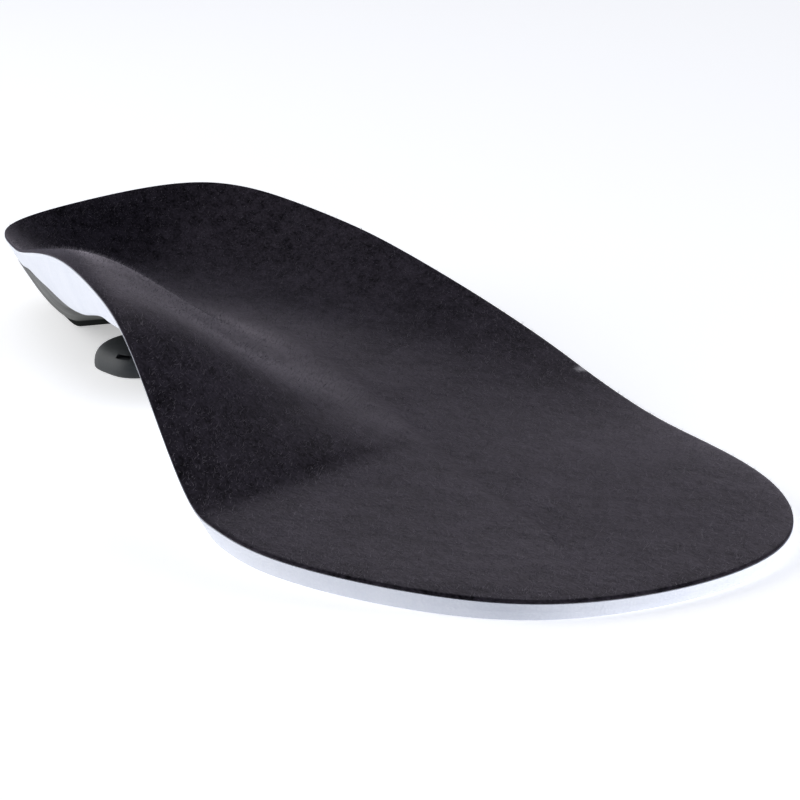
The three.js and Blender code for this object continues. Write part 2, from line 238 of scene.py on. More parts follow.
def steady_slopes(values, spans):
    """Slopes that never carry a curve past its own values: the harmonic mean of the two steps at a row,
    or level where the steps turn back."""
    next_step = (np.roll(values, -1, axis=0) - values) / spans[:, None]
    last_step = np.roll(next_step, 1, axis=0)
    agree = last_step * next_step > 0
    total = np.where(agree, last_step + next_step, 1.0)
    return np.where(agree, 2 * last_step * next_step / total, 0.0)


def along_rows(values, slopes, spans, place, last):
    """The rows' columns at places along them, by a cubic in each span that meets its rows and slopes."""
    here = np.minimum(place.astype(int), last)
    after = (here + 1) % len(values)
    t = (place - here)[:, None]
    span = spans[here][:, None]
    blend = t * t * (3 - 2 * t)
    leave = slopes[here] * span * t * (1 - t) ** 2
    arrive = slopes[after] * span * t * t * (1 - t)
    return values[here] + (values[after] - values[here]) * blend + leave - arrive


RIM = np.array([*ARCH_SIDE_ROWS.values(), *reversed(OUTER_SIDE_ROWS.values())], float)
RIM_SPANS = np.sqrt(np.hypot(*(np.roll(RIM[:, :2], -1, axis=0) - RIM[:, :2]).T))
RIM_SLOPES = steady_slopes(RIM, RIM_SPANS)
RIM_SLOPES[:, :SMOOTH_COLUMNS] = smooth_slopes(RIM[:, :SMOOTH_COLUMNS], RIM_SPANS)
ROUND = len(RIM)
SPINE = np.array([*SPINE_ROWS.values()], float)
SPINE_SPANS = np.ones(len(SPINE))
SPINE_SLOPES = steady_slopes(SPINE, SPINE_SPANS)
SPINE_SLOPES[0] = SPINE[1] - SPINE[0]
SPINE_SLOPES[-1] = SPINE[-1] - SPINE[-2]
TOE = len(SPINE) - 1


def sections(loop, sizes):
    """The sections' columns at places round the rim: 0 at the heel's back, up the arch side to the toe's
    tip half way, and back down the outer side. Each column is an array with a row for each section."""
    place = np.minimum(loop, ROUND - loop)
    rim = along_rows(RIM, RIM_SLOPES, RIM_SPANS, np.mod(loop, ROUND), ROUND - 1)
    spine = along_rows(SPINE, SPINE_SLOPES, SPINE_SPANS, place, TOE - 1)
    columns = {name: rim[:, k : k + 1] for k, name in enumerate(RIM_COLUMNS)}
    columns.update({name: spine[:, k : k + 1] for k, name in enumerate(SPINE_COLUMNS)})
    at = SimpleNamespace(place=place[:, None], **columns)
    turn = np.clip(1 - (SHELL_FRONT - at.place) / CORNER_STRETCH, 0, 1)
    at.edge = at.edge + (CORNER_REACH - at.edge) * (1 - np.sqrt(1 - turn**2))
    at.reach = np.hypot(at.out - at.spine_out, at.ahead - at.spine_ahead)
    at.wall_top = at.rim - (sizes.cover_thickness + sizes.layer_gap) / MM - at.lip
    return at


# The rim drawn finely, to find the middle of its box.
FINE_STEP = 0.02
FINE_PLACES = np.arange(0, ROUND, FINE_STEP)
FINE_RIM = along_rows(RIM, RIM_SLOPES, RIM_SPANS, FINE_PLACES, ROUND - 1)[:, :2]
MIDDLE_OUT, MIDDLE_AHEAD = (FINE_RIM.min(axis=0) + FINE_RIM.max(axis=0)) / 2


def to_frame(points):
    """Foot millimetres as metres in the frame: turned half round, centred, and standing on the ground."""
    turned = np.stack([MIDDLE_OUT - points[..., 0], MIDDLE_AHEAD - points[..., 1], points[..., 2]], -1)
    return turned * MM


def smoothstep(value, low, high):
    """0 below low, 1 above high, and an even S between them."""
    t = np.clip((value - low) / (high - low), 0, 1)
    return t * t * (3 - 2 * t)


def top_points(at, across, depth):
    """The cover's top, from the spine at 0 to the rim at 1, moved down by some depth. Its height is the
    floor plus the rim's rise times a power of the way out, filled by the crown, less the edge's roll."""
    fill = across**at.cup * (1 + at.crown * (1 - across))
    height = at.floor + (at.rim + at.roll - at.floor) * fill - at.roll * across**ROLL_POWER - depth
    out = at.spine_out + (at.out - at.spine_out) * across
    ahead = at.spine_ahead + (at.ahead - at.spine_ahead) * across
    return np.stack(np.broadcast_arrays(out, ahead, height), -1)


def outer_section(at, across):
    """The outer wall and underside: 0 below the lip, 1 at the wall's foot, 2 at the spine, as a way in
    from the rim and a height. The wall goes down by a sine, and in by a mix of a power of the sine and
    1 less the cosine, and the underside then sinks to the keel by an even S."""
    angle = np.clip(across, 0, 1) * np.pi / 2
    beyond = np.clip(across - 1, 0, 1)
    slope = WALL_LEAN * np.sin(angle) ** at.tuck + (1 - WALL_LEAN) * (1 - np.cos(angle))
    way = at.inset * slope + (at.reach - at.inset) * beyond
    wall = at.wall_top - (at.wall_top - at.base) * np.sin(angle)
    return way, wall - (at.base - at.keel) * smoothstep(beyond, 0, 1)


def under_points(at, across, depth):
    """Points of the wall and underside, moved into the layers by some depth square to the section."""
    step = 0.001
    way, height = outer_section(at, across)
    way_from, height_from = outer_section(at, np.maximum(across - step, 0))
    way_to, height_to = outer_section(at, np.minimum(across + step, 2))
    length = np.hypot(way_to - way_from, height_to - height_from)
    share = (way - (height_to - height_from) / length * depth) / at.reach
    height = height + (way_to - way_from) / length * depth
    at_spine = across >= 2
    share = np.where(at_spine, 1, share)
    height = np.where(at_spine, at.keel + depth, height)
    out = at.out + (at.spine_out - at.out) * share
    ahead = at.ahead + (at.spine_ahead - at.ahead) * share
    return np.stack(np.broadcast_arrays(out, ahead, height), -1)


def shell_depth(at, across, sizes):
    """The shell's thickness, which grows evenly from its edge over a share of the section."""
    share = np.clip((across - at.edge) / SHELL_TAPER, 0, 1)
    return (sizes.shell_edge + (sizes.shell_thickness - sizes.shell_edge) * share) / MM


def round_the_rim(per_section):
    """Places round the whole rim, evenly spaced in each section of the table."""
    return np.arange(ROUND * per_section) / per_section


def both_sides(places):
    """Places on the arch side from heel to toe, then the same on the outer side from toe to heel."""
    return np.concatenate([places, ROUND - places[::-1]])


def corner_places(start, end, count):
    """Places that crowd towards the end as a quarter turn does."""
    return end - (end - start) * (1 - np.sin(np.linspace(0, np.pi / 2, count)))


# Meshes and materials

# Points nearer than this are one, edges shorter than this are dropped, and faces that meet at more than
# this angle meet in a sharp edge.
MERGE_DISTANCE = 2e-7
SHORTEST_EDGE = 1e-8
SHARP_ANGLE = np.radians(50)


def grid_faces(index):
    """Four-sided faces between the neighbours in a grid of point numbers."""
    corners = [index[:-1, :-1], index[:-1, 1:], index[1:, 1:], index[1:, :-1]]
    return np.stack(corners, -1).reshape(-1, 4).tolist()


def add_piece(name, lines, closed, node, material):
    """A piece from lines of points: four-sided faces between each line and the next, and from the last
    line to the first where it is closed. Points that meet are merged, and faces turned outwards."""
    count, length = lines.shape[:2]
    index = np.arange(count * length).reshape(count, length)
    if closed:
        index = np.vstack([index, index[:1]])
    mesh = bpy.data.meshes.new(name)
    mesh.from_pydata(to_frame(lines).reshape(-1, 3).tolist(), [], grid_faces(index))
    work = bmesh.new()
    work.from_mesh(mesh)
    bmesh.ops.remove_doubles(work, verts=work.verts, dist=MERGE_DISTANCE)
    bmesh.ops.dissolve_degenerate(work, edges=work.edges, dist=SHORTEST_EDGE)
    bmesh.ops.recalc_face_normals(work, faces=work.faces)
    work.to_mesh(mesh)
    work.free()
    return finish_piece(name, mesh, node, material)


def finish_piece(name, mesh, node, material):
    """Puts a mesh into the scene as a piece that rides on the insole and stands for its node."""
    mesh.polygons.foreach_set("use_smooth", np.ones(len(mesh.polygons), bool))
    mesh.set_sharp_from_angle(angle=SHARP_ANGLE)
    mesh.materials.append(material)
    piece = bpy.data.objects.new(name, mesh)
    bpy.context.scene.collection.objects.link(piece)
    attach(piece, "root")
    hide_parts(node)
    return piece


def add_node(tree, kind, inputs=None, **settings):
    """Adds a node, sets its own settings, and links or sets each input by its name or number."""
    made = tree.nodes.new(kind)
    for name, value in settings.items():
        setattr(made, name, value)
    for name, value in (inputs or {}).items():
        if isinstance(value, bpy.types.NodeSocket):
            tree.links.new(value, made.inputs[name])
        else:
            made.inputs[name].default_value = value
    return made


def new_material(name):
    """An empty material, its tree, and the place on the piece that its patterns are drawn by."""
    material = bpy.data.materials.new(name)
    material.use_nodes = True
    tree = material.node_tree
    tree.nodes.clear()
    place = add_node(tree, "ShaderNodeTexCoord").outputs["Object"]
    return material, tree, place


def end_material(tree, inputs):
    """Adds the surface shader with its inputs, and the output that it goes to."""
    shader = add_node(tree, "ShaderNodeBsdfPrincipled", inputs)
    add_node(tree, "ShaderNodeOutputMaterial", {"Surface": shader.outputs["BSDF"]})


def per_metre(millimetres):
    """How many repeats a metre holds of a pattern of this size, as the texture nodes count them."""
    return 1 / (millimetres * MM)


def noise(tree, place, size, roughness, detail=2.0):
    """Cloudy noise of a size in millimetres, as a value about one half."""
    inputs = {"Vector": place, "Scale": per_metre(size), "Detail": detail, "Roughness": roughness}
    return add_node(tree, "ShaderNodeTexNoise", inputs).outputs["Fac"]


def mix_values(tree, share, first, second):
    """A value some share of the way from the first to the second. A mix node has sockets for each kind
    of data: values go in at 2 and 3, and come out at 0."""
    return add_node(tree, "ShaderNodeMix", {0: share, 2: first, 3: second}, data_type="FLOAT").outputs[0]


def mix_colours(tree, share, first, second):
    """A colour some share of the way from the first to the second. A mix node has sockets for each kind
    of data: colours go in at 6 and 7, and come out at 2."""
    return add_node(tree, "ShaderNodeMix", {0: share, 6: first, 7: second}, data_type="RGBA").outputs[2]


def map_range(tree, value, source, target=(0.0, 1.0)):
    """A value carried evenly from one range to another, and held at its ends."""
    inputs = {"Value": value, "From Min": source[0], "From Max": source[1]}
    inputs.update({"To Min": target[0], "To Max": target[1]})
    return add_node(tree, "ShaderNodeMapRange", inputs).outputs["Result"]


def bumps(tree, height, strength, relief):
    """Normals bent as if the surface rose and fell with a pattern, by a relief in millimetres."""
    inputs = {"Height": height, "Strength": strength, "Distance": relief * MM}
    return add_node(tree, "ShaderNodeBump", inputs).outputs["Normal"]


# The range that most values of a noise lie in.
NOISE_RANGE = (0.3, 0.7)

# How much light the tips of the nap catch, and how far from a glancing view they still catch it. Then
# how brushing draws the pattern out along the foot, the sizes of its patches, mottle and tufts, the
# shares of mottle and tufts in it, the range of it from dark to light, and its strength and relief as
# bumps. Sizes of patterns and reliefs are in millimetres.
NAP_SHEEN = 0.38
NAP_SHEEN_ROUGHNESS = 0.3
NAP_BRUSHING = (1.0, 0.4, 1.0)
NAP_PATCH_SIZE = 11
NAP_MOTTLE_SIZE = 1.6
NAP_TUFT_SIZE = 0.4
NAP_MOTTLE_SHARE = 0.6
NAP_TUFT_SHARE = 0.4
NAP_RANGE = (0.36, 0.64)
NAP_BUMPS = 0.45
NAP_RELIEF = 0.25

# The rubbed spot's middle on the outer rim, its radius, and how far its edge wanders.
SCUFF_PLACE = (44.2 * MM, -22.1 * MM, 7.2 * MM)
SCUFF_RADIUS = 1.8 * MM
SCUFF_WANDER = 2.6 * MM


def microfibre_material(colours):
    """Brushed polyester microfibre: near black face on, because light sinks between the fibres, and
    paler at a glancing view, where their tips catch it. Brushing leaves it mottled and streaked, and
    one spot on the rim is rubbed pale."""
    material, tree, place = new_material("brushed_microfibre")
    stretch = add_node(tree, "ShaderNodeMapping", {"Vector": place, "Scale": NAP_BRUSHING})
    brushed = stretch.outputs["Vector"]
    patches = noise(tree, place, NAP_PATCH_SIZE, roughness=0.5)
    mottle = noise(tree, brushed, NAP_MOTTLE_SIZE, roughness=0.6)
    # The fibres are about a hundredth of a millimetre thick, too fine to show, and are drawn as tufts.
    tufts = noise(tree, brushed, NAP_TUFT_SIZE, roughness=0.6)
    broad = mix_values(tree, NAP_MOTTLE_SHARE, patches, mottle)
    nap = mix_values(tree, NAP_TUFT_SHARE, broad, tufts)
    stand = map_range(tree, nap, NAP_RANGE)
    colour = mix_colours(tree, stand, (*colours.nap_dark, 1), (*colours.nap_light, 1))
    away = add_node(tree, "ShaderNodeVectorMath", {0: place, 1: SCUFF_PLACE}, operation="DISTANCE")
    wander = {0: tufts, 1: SCUFF_WANDER, 2: away.outputs["Value"]}
    ragged = add_node(tree, "ShaderNodeMath", wander, operation="MULTIPLY_ADD").outputs["Value"]
    rubbed = map_range(tree, ragged, (SCUFF_RADIUS + SCUFF_WANDER / 2, SCUFF_WANDER / 2))
    inputs = {
        "Base Color": mix_colours(tree, rubbed, colour, (*colours.scuff, 1)),
        "Roughness": 0.95,
        "IOR": 1.45,
        "Specular IOR Level": 0.0,
        "Sheen Weight": NAP_SHEEN,
        "Sheen Roughness": NAP_SHEEN_ROUGHNESS,
        "Sheen Tint": (*colours.nap_sheen, 1),
        "Normal": bumps(tree, nap, NAP_BUMPS, NAP_RELIEF),
    }
    end_material(tree, inputs)
    return material


# The size of the patches of loose fibres with more and less painted sheen, and the share of change
# from place to place.
FIBRE_PATCH_SIZE = 2.5
FIBRE_CHANGE = 0.2


def fibre_material(colours):
    """Loose polyester fibres. Their colour runs from the nap's own light tone to a painted pale that
    stands in for the sheen their tips catch, so they show as pale and dark specks on the nap.
    """
    material, tree, place = new_material("loose_polyester_fibre")
    change = add_node(tree, "ShaderNodeTexWhiteNoise", {"Vector": place}, noise_dimensions="3D")
    patch = noise(tree, place, FIBRE_PATCH_SIZE, roughness=0.6)
    tone = mix_values(tree, FIBRE_CHANGE, patch, change.outputs["Value"])
    # From the nap's own tone to the painted sheen, which stands in for the light the fibres catch.
    colour = mix_colours(tree, tone, (*colours.nap_light, 1), (*colours.fibre_painted_sheen, 1))
    end_material(tree, {"Base Color": colour, "Roughness": 0.8, "IOR": 1.45, "Specular IOR Level": 0.2})
    return material


# The sizes of the foam's cells and clouds, the share of cells in its tone, its least and greatest
# roughness, and its strength and relief as bumps. The cells are about 0.2 mm across, too fine to show,
# and are drawn at about twice that.
FOAM_CELL_SIZE = 0.45
FOAM_CLOUD_SIZE = 7
FOAM_CELL_SHARE = 0.35
FOAM_ROUGHNESS = (0.66, 0.82)
FOAM_BUMPS = 0.25
FOAM_RELIEF = 0.12


def foam_material(colours):
    """Moulded closed-cell foam: a matte cool white with a fine cellular skin, a little greyer in its
    cells."""
    material, tree, place = new_material("moulded_eva_foam")
    pattern = {"Vector": place, "Scale": per_metre(FOAM_CELL_SIZE), "Randomness": 1.0}
    cells = add_node(tree, "ShaderNodeTexVoronoi", pattern).outputs["Distance"]
    cloud = noise(tree, place, FOAM_CLOUD_SIZE, roughness=0.55, detail=3.0)
    tone = mix_values(tree, FOAM_CELL_SHARE, cloud, cells)
    inputs = {
        "Base Color": mix_colours(tree, tone, (*colours.foam_white, 1), (*colours.foam_shade, 1)),
        "Roughness": map_range(tree, cloud, NOISE_RANGE, FOAM_ROUGHNESS),
        "IOR": 1.48,
        "Normal": bumps(tree, cells, FOAM_BUMPS, FOAM_RELIEF),
    }
    end_material(tree, inputs)
    return material


# The size of the broad marks that the plastic's flow leaves, their share in its tone, whose rest is
# painted shade in the hollows of the grain, how far they change its roughness, and the grain's strength
# and relief as bumps. Then the grain's size, the roughness and the strength of the reflections for each
# of the two plastics.
FLOW_SIZE = 9
FLOW_SHARE = 0.5
FLOW_ROUGHNESS = 0.06
GRAIN_BUMPS = 0.3
GRAIN_RELIEF = 0.08
SHELL_GRAIN_SIZE = 0.5
SHELL_ROUGHNESS = 0.42
SHELL_GLOSS = 0.14
ARCH_GRAIN_SIZE = 0.6
ARCH_ROUGHNESS = 0.55
ARCH_GLOSS = 0.3


def moulded_plastic_material(name, body, dark, grain_size, roughness, gloss):
    """Injection-moulded plastic from an etched mould: a satin grey with a fine even grain that breaks up
    the gloss. It is darker in the broad marks of the plastic's flow, and darker in the hollows of the
    grain as painted shade."""
    material, tree, place = new_material(name)
    grain = noise(tree, place, grain_size, roughness=0.5)
    flow = noise(tree, place, FLOW_SIZE, roughness=0.5)
    tone = mix_values(tree, FLOW_SHARE, grain, flow)
    rough = (roughness - FLOW_ROUGHNESS, roughness + FLOW_ROUGHNESS)
    inputs = {
        # Painted shade where the grain is low, in its hollows, mixed with the real tone of the flow marks.
        "Base Color": mix_colours(tree, tone, (*dark, 1), (*body, 1)),
        "Roughness": map_range(tree, flow, NOISE_RANGE, rough),
        "IOR": 1.53,
        "Specular IOR Level": gloss,
        "Normal": bumps(tree, grain, GRAIN_BUMPS, GRAIN_RELIEF),
    }
    end_material(tree, inputs)
    return material


# Pieces

# How finely the cover is drawn: sections in each span of the rim, rings across its top, steps round its
# edge, and rings underneath.
COVER_SECTIONS = 20
COVER_RINGS = 72
COVER_EDGE_STEPS = 8
COVER_UNDER_RINGS = 14


def cover_lines(sizes):
    """The cover's section lines: out along its top, half round at its edge, and back underneath. At
    the edge, a half circle as thick as the cover carries the top's height down to the underside's."""
    thickness = sizes.cover_thickness / MM
    half = thickness / 2
    at = sections(round_the_rim(COVER_SECTIONS), sizes)
    inside = 1 - half / at.reach
    top = top_points(at, np.linspace(0, 1, COVER_RINGS) * inside, 0.0)
    turn = np.linspace(0, np.pi, COVER_EDGE_STEPS + 1)[1:-1]
    edge = top_points(at, inside + half * np.sin(turn) / at.reach, half - half * np.cos(turn))
    under = top_points(at, np.linspace(1, 0, COVER_UNDER_RINGS) * inside, thickness)
    return np.concatenate([top, edge, under], axis=1)


# The loose fibres: the seed of their random draws, how finely the top that they stand on is drawn, the
# ways out between which their roots lie, how far they lean to the toe and stray, the least they rise,
# their least and greatest length in mean lengths, and how deep they are rooted. They are drawn several
# times thicker than real ones, which are too fine to show.
FIBRE_SEED = 5
FIBRE_SECTIONS = 8
FIBRE_RINGS = 40
FIBRE_ROOTS = (0.02, 0.995)
FIBRE_LEAN = 0.7
FIBRE_SPREAD = 0.6
FIBRE_RISE = 0.3
FIBRE_LENGTHS = (0.4, 1.6)
FIBRE_SINK = 0.05


def fibre_points(sizes):
    """The fibres' corners, three at the root and one at the tip. Roots fall on the cover's top evenly
    by area: a patch of its grid is drawn by its share of the area, then a place in the patch. Each
    fibre stands on the surface, leans towards the toe as it was brushed, and strays at random."""
    random = np.random.default_rng(FIBRE_SEED)
    count = sizes.fibre_count
    at = sections(round_the_rim(FIBRE_SECTIONS), sizes)
    grid = top_points(at, np.linspace(*FIBRE_ROOTS, FIBRE_RINGS)[None, :], 0.0)
    grid = np.concatenate([grid, grid[:1]])
    near = grid[:-1, :-1].reshape(-1, 3)
    right = grid[:-1, 1:].reshape(-1, 3)
    left = grid[1:, :-1].reshape(-1, 3)
    far = grid[1:, 1:].reshape(-1, 3)
    square = np.cross(far - near, left - right)
    square *= np.sign(square[:, 2:])
    area = np.linalg.norm(square, axis=1)
    patch = np.searchsorted(np.cumsum(area), random.random(count) * area.sum())
    s, t = random.random((2, count, 1))
    near_side = near[patch] * (1 - s) + right[patch] * s
    far_side = left[patch] * (1 - s) + far[patch] * s
    root = near_side * (1 - t) + far_side * t
    upright = square[patch] / area[patch, None]
    way = upright + random.normal(0, FIBRE_SPREAD, (count, 3)) + np.array([0, FIBRE_LEAN, 0])
    way -= upright * np.minimum((way * upright).sum(1, keepdims=True) - FIBRE_RISE, 0)
    way /= np.linalg.norm(way, axis=1, keepdims=True)
    length = sizes.fibre_length / MM * random.uniform(*FIBRE_LENGTHS, (count, 1))
    side = np.cross(way, random.normal(size=(count, 3)))
    side /= np.linalg.norm(side, axis=1, keepdims=True)
    other = np.cross(way, side)
    half = sizes.fibre_width / MM / 2
    root = root - upright * FIBRE_SINK
    turns = np.radians([0, 120, 240])
    corners = [root + half * (side * np.cos(turn) + other * np.sin(turn)) for turn in turns]
    return np.stack([*corners, root + way * length], axis=1)


FIBRE_FACES = np.array([(0, 2, 1), (0, 1, 3), (1, 2, 3), (2, 0, 3)])


def add_fibres(sizes, material):
    """The loose fibres as one mesh of four-faced spikes, with their plan as the map that colours bake
    to."""
    points = to_frame(fibre_points(sizes))
    faces = np.arange(len(points))[:, None, None] * points.shape[1] + FIBRE_FACES
    mesh = bpy.data.meshes.new("nap_fibres")
    mesh.from_pydata(points.reshape(-1, 3).tolist(), [], faces.reshape(-1, 3).tolist())
    plan = points.reshape(-1, 3)[faces.ravel(), :2]
    plan = (plan - plan.min(axis=0)) / (plan.max() - plan.min())
    chart = mesh.uv_layers.new(name="OFBake")
    chart.data.foreach_set("uv", plan.astype(np.float32).ravel())
    return finish_piece("nap_fibres", mesh, "top_cover", material)


# How finely the foam is drawn: sections in each span of the rim, rings across its top, shares down the
# cut lip, close shares where the wall starts and the share that its even steps start at, and steps along
# the wall and the underside. Corners of the shell, and of the ledge above it, take this many sections.
FOAM_SECTIONS = 16
FOAM_TOP_RINGS = 24
LIP_SHARES = (0.06, 0.5, 0.9)
WALL_CLOSE_SHARES = (0, 0.01, 0.03)
WALL_EVEN_SHARE = 0.06
WALL_STEPS = 20
UNDER_STEPS = 24
CORNER_SECTIONS = 14


def foam_lines(sizes):
    """The foam's section lines: out under the cover, down the cut lip and the wall, in at the ledge above
    the shell, and back along the underside to the spine. In front of the shell there is no ledge."""
    depth = sizes.cover_thickness / MM + sizes.layer_gap / MM
    even = np.arange(0, TOE * FOAM_SECTIONS + 1) / FOAM_SECTIONS
    corner_start = SHELL_FRONT - CORNER_STRETCH
    corner = corner_places(corner_start, SHELL_FRONT, CORNER_SECTIONS)
    behind = np.concatenate([even[even < corner_start], corner, [LEDGE_FRONT]])
    ahead = np.concatenate([[LEDGE_FRONT], even[even > LEDGE_FRONT]])
    loop = both_sides(np.concatenate([behind, ahead]))
    stepped = np.concatenate([np.ones(len(behind)), np.zeros(len(ahead))])
    stepped = np.concatenate([stepped, stepped[::-1]])[:, None]
    at = sections(loop, sizes)
    top = top_points(at, np.linspace(0, 1, FOAM_TOP_RINGS)[None, :], depth)
    cut = np.array(LIP_SHARES)[None, :, None]
    foot_of_cut = under_points(at, np.zeros((1, 1)), 0.0)
    lip = top[:, -1:] + (foot_of_cut - top[:, -1:]) * cut
    wall_share = np.concatenate([WALL_CLOSE_SHARES, np.linspace(WALL_EVEN_SHARE, 1, WALL_STEPS)])
    wall = under_points(at, at.edge * wall_share, 0.0)
    across = at.edge + (2 - at.edge) * np.linspace(0, 1, UNDER_STEPS)
    recess = shell_depth(at, across, sizes) + sizes.layer_gap / MM
    under = under_points(at, across, recess * stepped)
    return np.concatenate([top, lip, wall, under], axis=1)


# How finely the shell is drawn: sections in each span of the rim, steps across it and round its edge, and
# sections over its rounded front and over the end of its pad. Then how far its edge lies below the ledge,
# and the share of the section and the stretch at the front over which it is rounded.
SHELL_SECTIONS = 16
SHELL_STEPS = 46
SHELL_EDGE_STEPS = 6
SHELL_NOSE_SECTIONS = 7
PAD_END_SECTIONS = 7
SHELL_SEAT = 0.006
SHELL_EDGE_SHARE = 0.012
SHELL_NOSE = 0.022


def shell_lines(sizes):
    """The shell's section lines: inside from the spine to the edge, and outside back to the spine. Both
    faces lie half the thickness from the middle, times a factor that falls to nothing at the edge and
    at the front by a quarter circle, which rounds them. The outside is pressed flat under the heel."""
    even = np.arange(0, TOE * SHELL_SECTIONS + 1) / SHELL_SECTIONS
    corner_start = SHELL_FRONT - CORNER_STRETCH
    nose_start = SHELL_FRONT - SHELL_NOSE
    pad_end = np.linspace(PAD_FRONT - PAD_END, PAD_FRONT, PAD_END_SECTIONS)
    corner = corner_places(corner_start, SHELL_FRONT, CORNER_SECTIONS)
    places = np.concatenate(
        [
            even[even < pad_end[0]],
            pad_end,
            even[(even > PAD_FRONT) & (even < corner_start)],
            corner[corner < nose_start],
            corner_places(nose_start, SHELL_FRONT, SHELL_NOSE_SECTIONS),
        ]
    )
    at = sections(np.concatenate([ROUND - places[::-1], places[1:]]), sizes)
    turn = np.linspace(0, np.pi / 2, SHELL_EDGE_STEPS)
    share = np.concatenate(
        [SHELL_EDGE_SHARE * (1 - np.cos(turn)), np.linspace(SHELL_EDGE_SHARE, 1, SHELL_STEPS)[1:]]
    )[None, :]
    start = at.edge + SHELL_SEAT
    across = start + (2 - start) * share
    by_edge = np.sqrt(1 - (1 - np.minimum(share / SHELL_EDGE_SHARE, 1)) ** 2)
    nose = np.clip(1 - (SHELL_FRONT - at.place) / SHELL_NOSE, 0, 1)
    full = by_edge * np.sqrt(1 - nose**2)
    half = shell_depth(at, across, sizes) / 2
    outer = under_points(at, across, half - half * full)
    inner = under_points(at, across, half + half * full)
    pad_length = 1 - smoothstep(at.place, PAD_FRONT - PAD_END, PAD_FRONT)
    pad = smoothstep(across, PAD_START, 1) * pad_length
    outer[..., 2] *= 1 - pad
    return np.concatenate([inner[:, ::-1], outer], axis=1)


# How finely the arch piece is drawn: sides round it and rings up it. Then the sizes of the rings of its
# foot, as shares of its outline, and their heights, as shares of its top's, and the angle that the rings
# above them start at.
ARCH_SIDES = 120
ARCH_RINGS = 30
ARCH_FOOT_SIZES = (0.0, 0.5, 0.9, 0.97, 0.985, 0.995)
ARCH_FOOT_SHARES = (0.0, 0.0, 0.0, 0.0, 0.025, 0.06)
ARCH_FOOT_LIFT = 0.06


def squared(wave, power):
    """A cosine or sine turned into that of a squared oval: its sign times its size to 2 over the power."""
    return np.sign(wave) * np.abs(wave) ** (2 / power)


def arch_lines(sizes):
    """The arch piece's lines, up its side from the middle of its foot to the middle of its top, for each
    way round. Both its outline and its shoulder are squared ovals, and its top stays under the shell."""
    angle = np.linspace(0, 2 * np.pi, ARCH_SIDES, endpoint=False)[:, None]
    lift = np.linspace(ARCH_FOOT_LIFT, np.pi / 2, ARCH_RINGS)
    size = np.concatenate([ARCH_FOOT_SIZES, squared(np.maximum(np.cos(lift), 0), ARCH_SHOULDER)])[None, :]
    share = np.concatenate([ARCH_FOOT_SHARES, squared(np.sin(lift), ARCH_SHOULDER)])[None, :]
    long = ARCH_HALF_LONG * size * squared(np.cos(angle), ARCH_SQUARE)
    wide = ARCH_HALF_WIDE * size * squared(np.sin(angle), ARCH_SQUARE)
    ahead = long * np.sin(ARCH_TURN) + wide * np.cos(ARCH_TURN)
    out = long * np.cos(ARCH_TURN) - wide * np.sin(ARCH_TURN)
    at = sections((ARCH_ALONG + ahead / ARCH_STEP_ALONG).ravel(), sizes)
    across = ARCH_ACROSS - out / ARCH_STEP_ACROSS
    points = under_points(at, across.ravel()[:, None], 0.0).reshape(ARCH_SIDES, -1, 3)
    points[..., 2] = np.minimum(sizes.arch_height / MM, points[..., 2] - ARCH_GAP) * share
    return points


def slot_box():
    """The corners of the box that cuts the slot in the arch piece's nose, turned to face forward."""
    corner = np.array([[x, y, z] for x in (-0.5, 0.5) for y in (-0.5, 0.5) for z in (-0.5, 0.5)])
    cosine, sine = np.cos(SLOT_TURN), np.sin(SLOT_TURN)
    turn = np.array([[cosine, sine, 0], [-sine, cosine, 0], [0, 0, 1]])
    return corner * SLOT_SIZE @ turn + SLOT_MIDDLE


BOX_FACES = [(0, 1, 3, 2), (4, 6, 7, 5), (0, 4, 5, 1), (2, 3, 7, 6), (0, 2, 6, 4), (1, 5, 7, 3)]
SLOT_SHARP_ANGLE = np.radians(35)


def cut_slot(piece):
    """Cuts the slot out of the arch piece and keeps the result as its mesh."""
    mesh = bpy.data.meshes.new("slot_cutter")
    mesh.from_pydata(to_frame(slot_box()).tolist(), [], BOX_FACES)
    cutter = bpy.data.objects.new("slot_cutter", mesh)
    bpy.context.scene.collection.objects.link(cutter)
    cut = piece.modifiers.new("slot", "BOOLEAN")
    cut.object = cutter
    cut.operation = "DIFFERENCE"
    cut.solver = "EXACT"
    graph = bpy.context.evaluated_depsgraph_get()
    whole = piece.data
    piece.data = bpy.data.meshes.new_from_object(piece.evaluated_get(graph))
    piece.modifiers.clear()
    bpy.data.objects.remove(cutter)
    bpy.data.meshes.remove(mesh)
    bpy.data.meshes.remove(whole)
    piece.data.set_sharp_from_angle(angle=SLOT_SHARP_ANGLE)


# Operators


class InsoleTopCover(bpy.types.Operator):
    """Builds the brushed microfibre cover and its loose fibres"""

    bl_idname = "insole.top_cover"
    bl_label = "Microfibre cover"

    def execute(self, context):
        colours = context.scene.insole_colours
        sizes = context.scene.insole_sizes
        lines = cover_lines(sizes)
        material = microfibre_material(colours)
        cover = add_piece("microfibre_cover", lines, True, "top_cover", material)
        add_fibres(sizes, fibre_material(colours))
        return {"FINISHED"}


class InsoleFoamBed(bpy.types.Operator):
    """Builds the moulded foam bed under the cover"""

    bl_idname = "insole.foam_bed"
    bl_label = "Foam bed"

    def execute(self, context):
        material = foam_material(context.scene.insole_colours)
        lines = foam_lines(context.scene.insole_sizes)
        foam = add_piece("foam_bed", lines, True, "foam_base", material)
        return {"FINISHED"}


class InsoleHeelShell(bpy.types.Operator):
    """Builds the stiff shell that cups the heel and bridges under the arch"""

    bl_idname = "insole.heel_shell"
    bl_label = "Heel shell"

    def execute(self, context):
        colours = context.scene.insole_colours
        material = moulded_plastic_material(
            "moulded_nylon",
            colours.shell_grey,
            colours.shell_flow_and_grain_shade,
            SHELL_GRAIN_SIZE,
            SHELL_ROUGHNESS,
            SHELL_GLOSS,
        )
        lines = shell_lines(context.scene.insole_sizes)
        add_piece("moulded_shell", lines, False, "heel_shell", material)
        return {"FINISHED"}


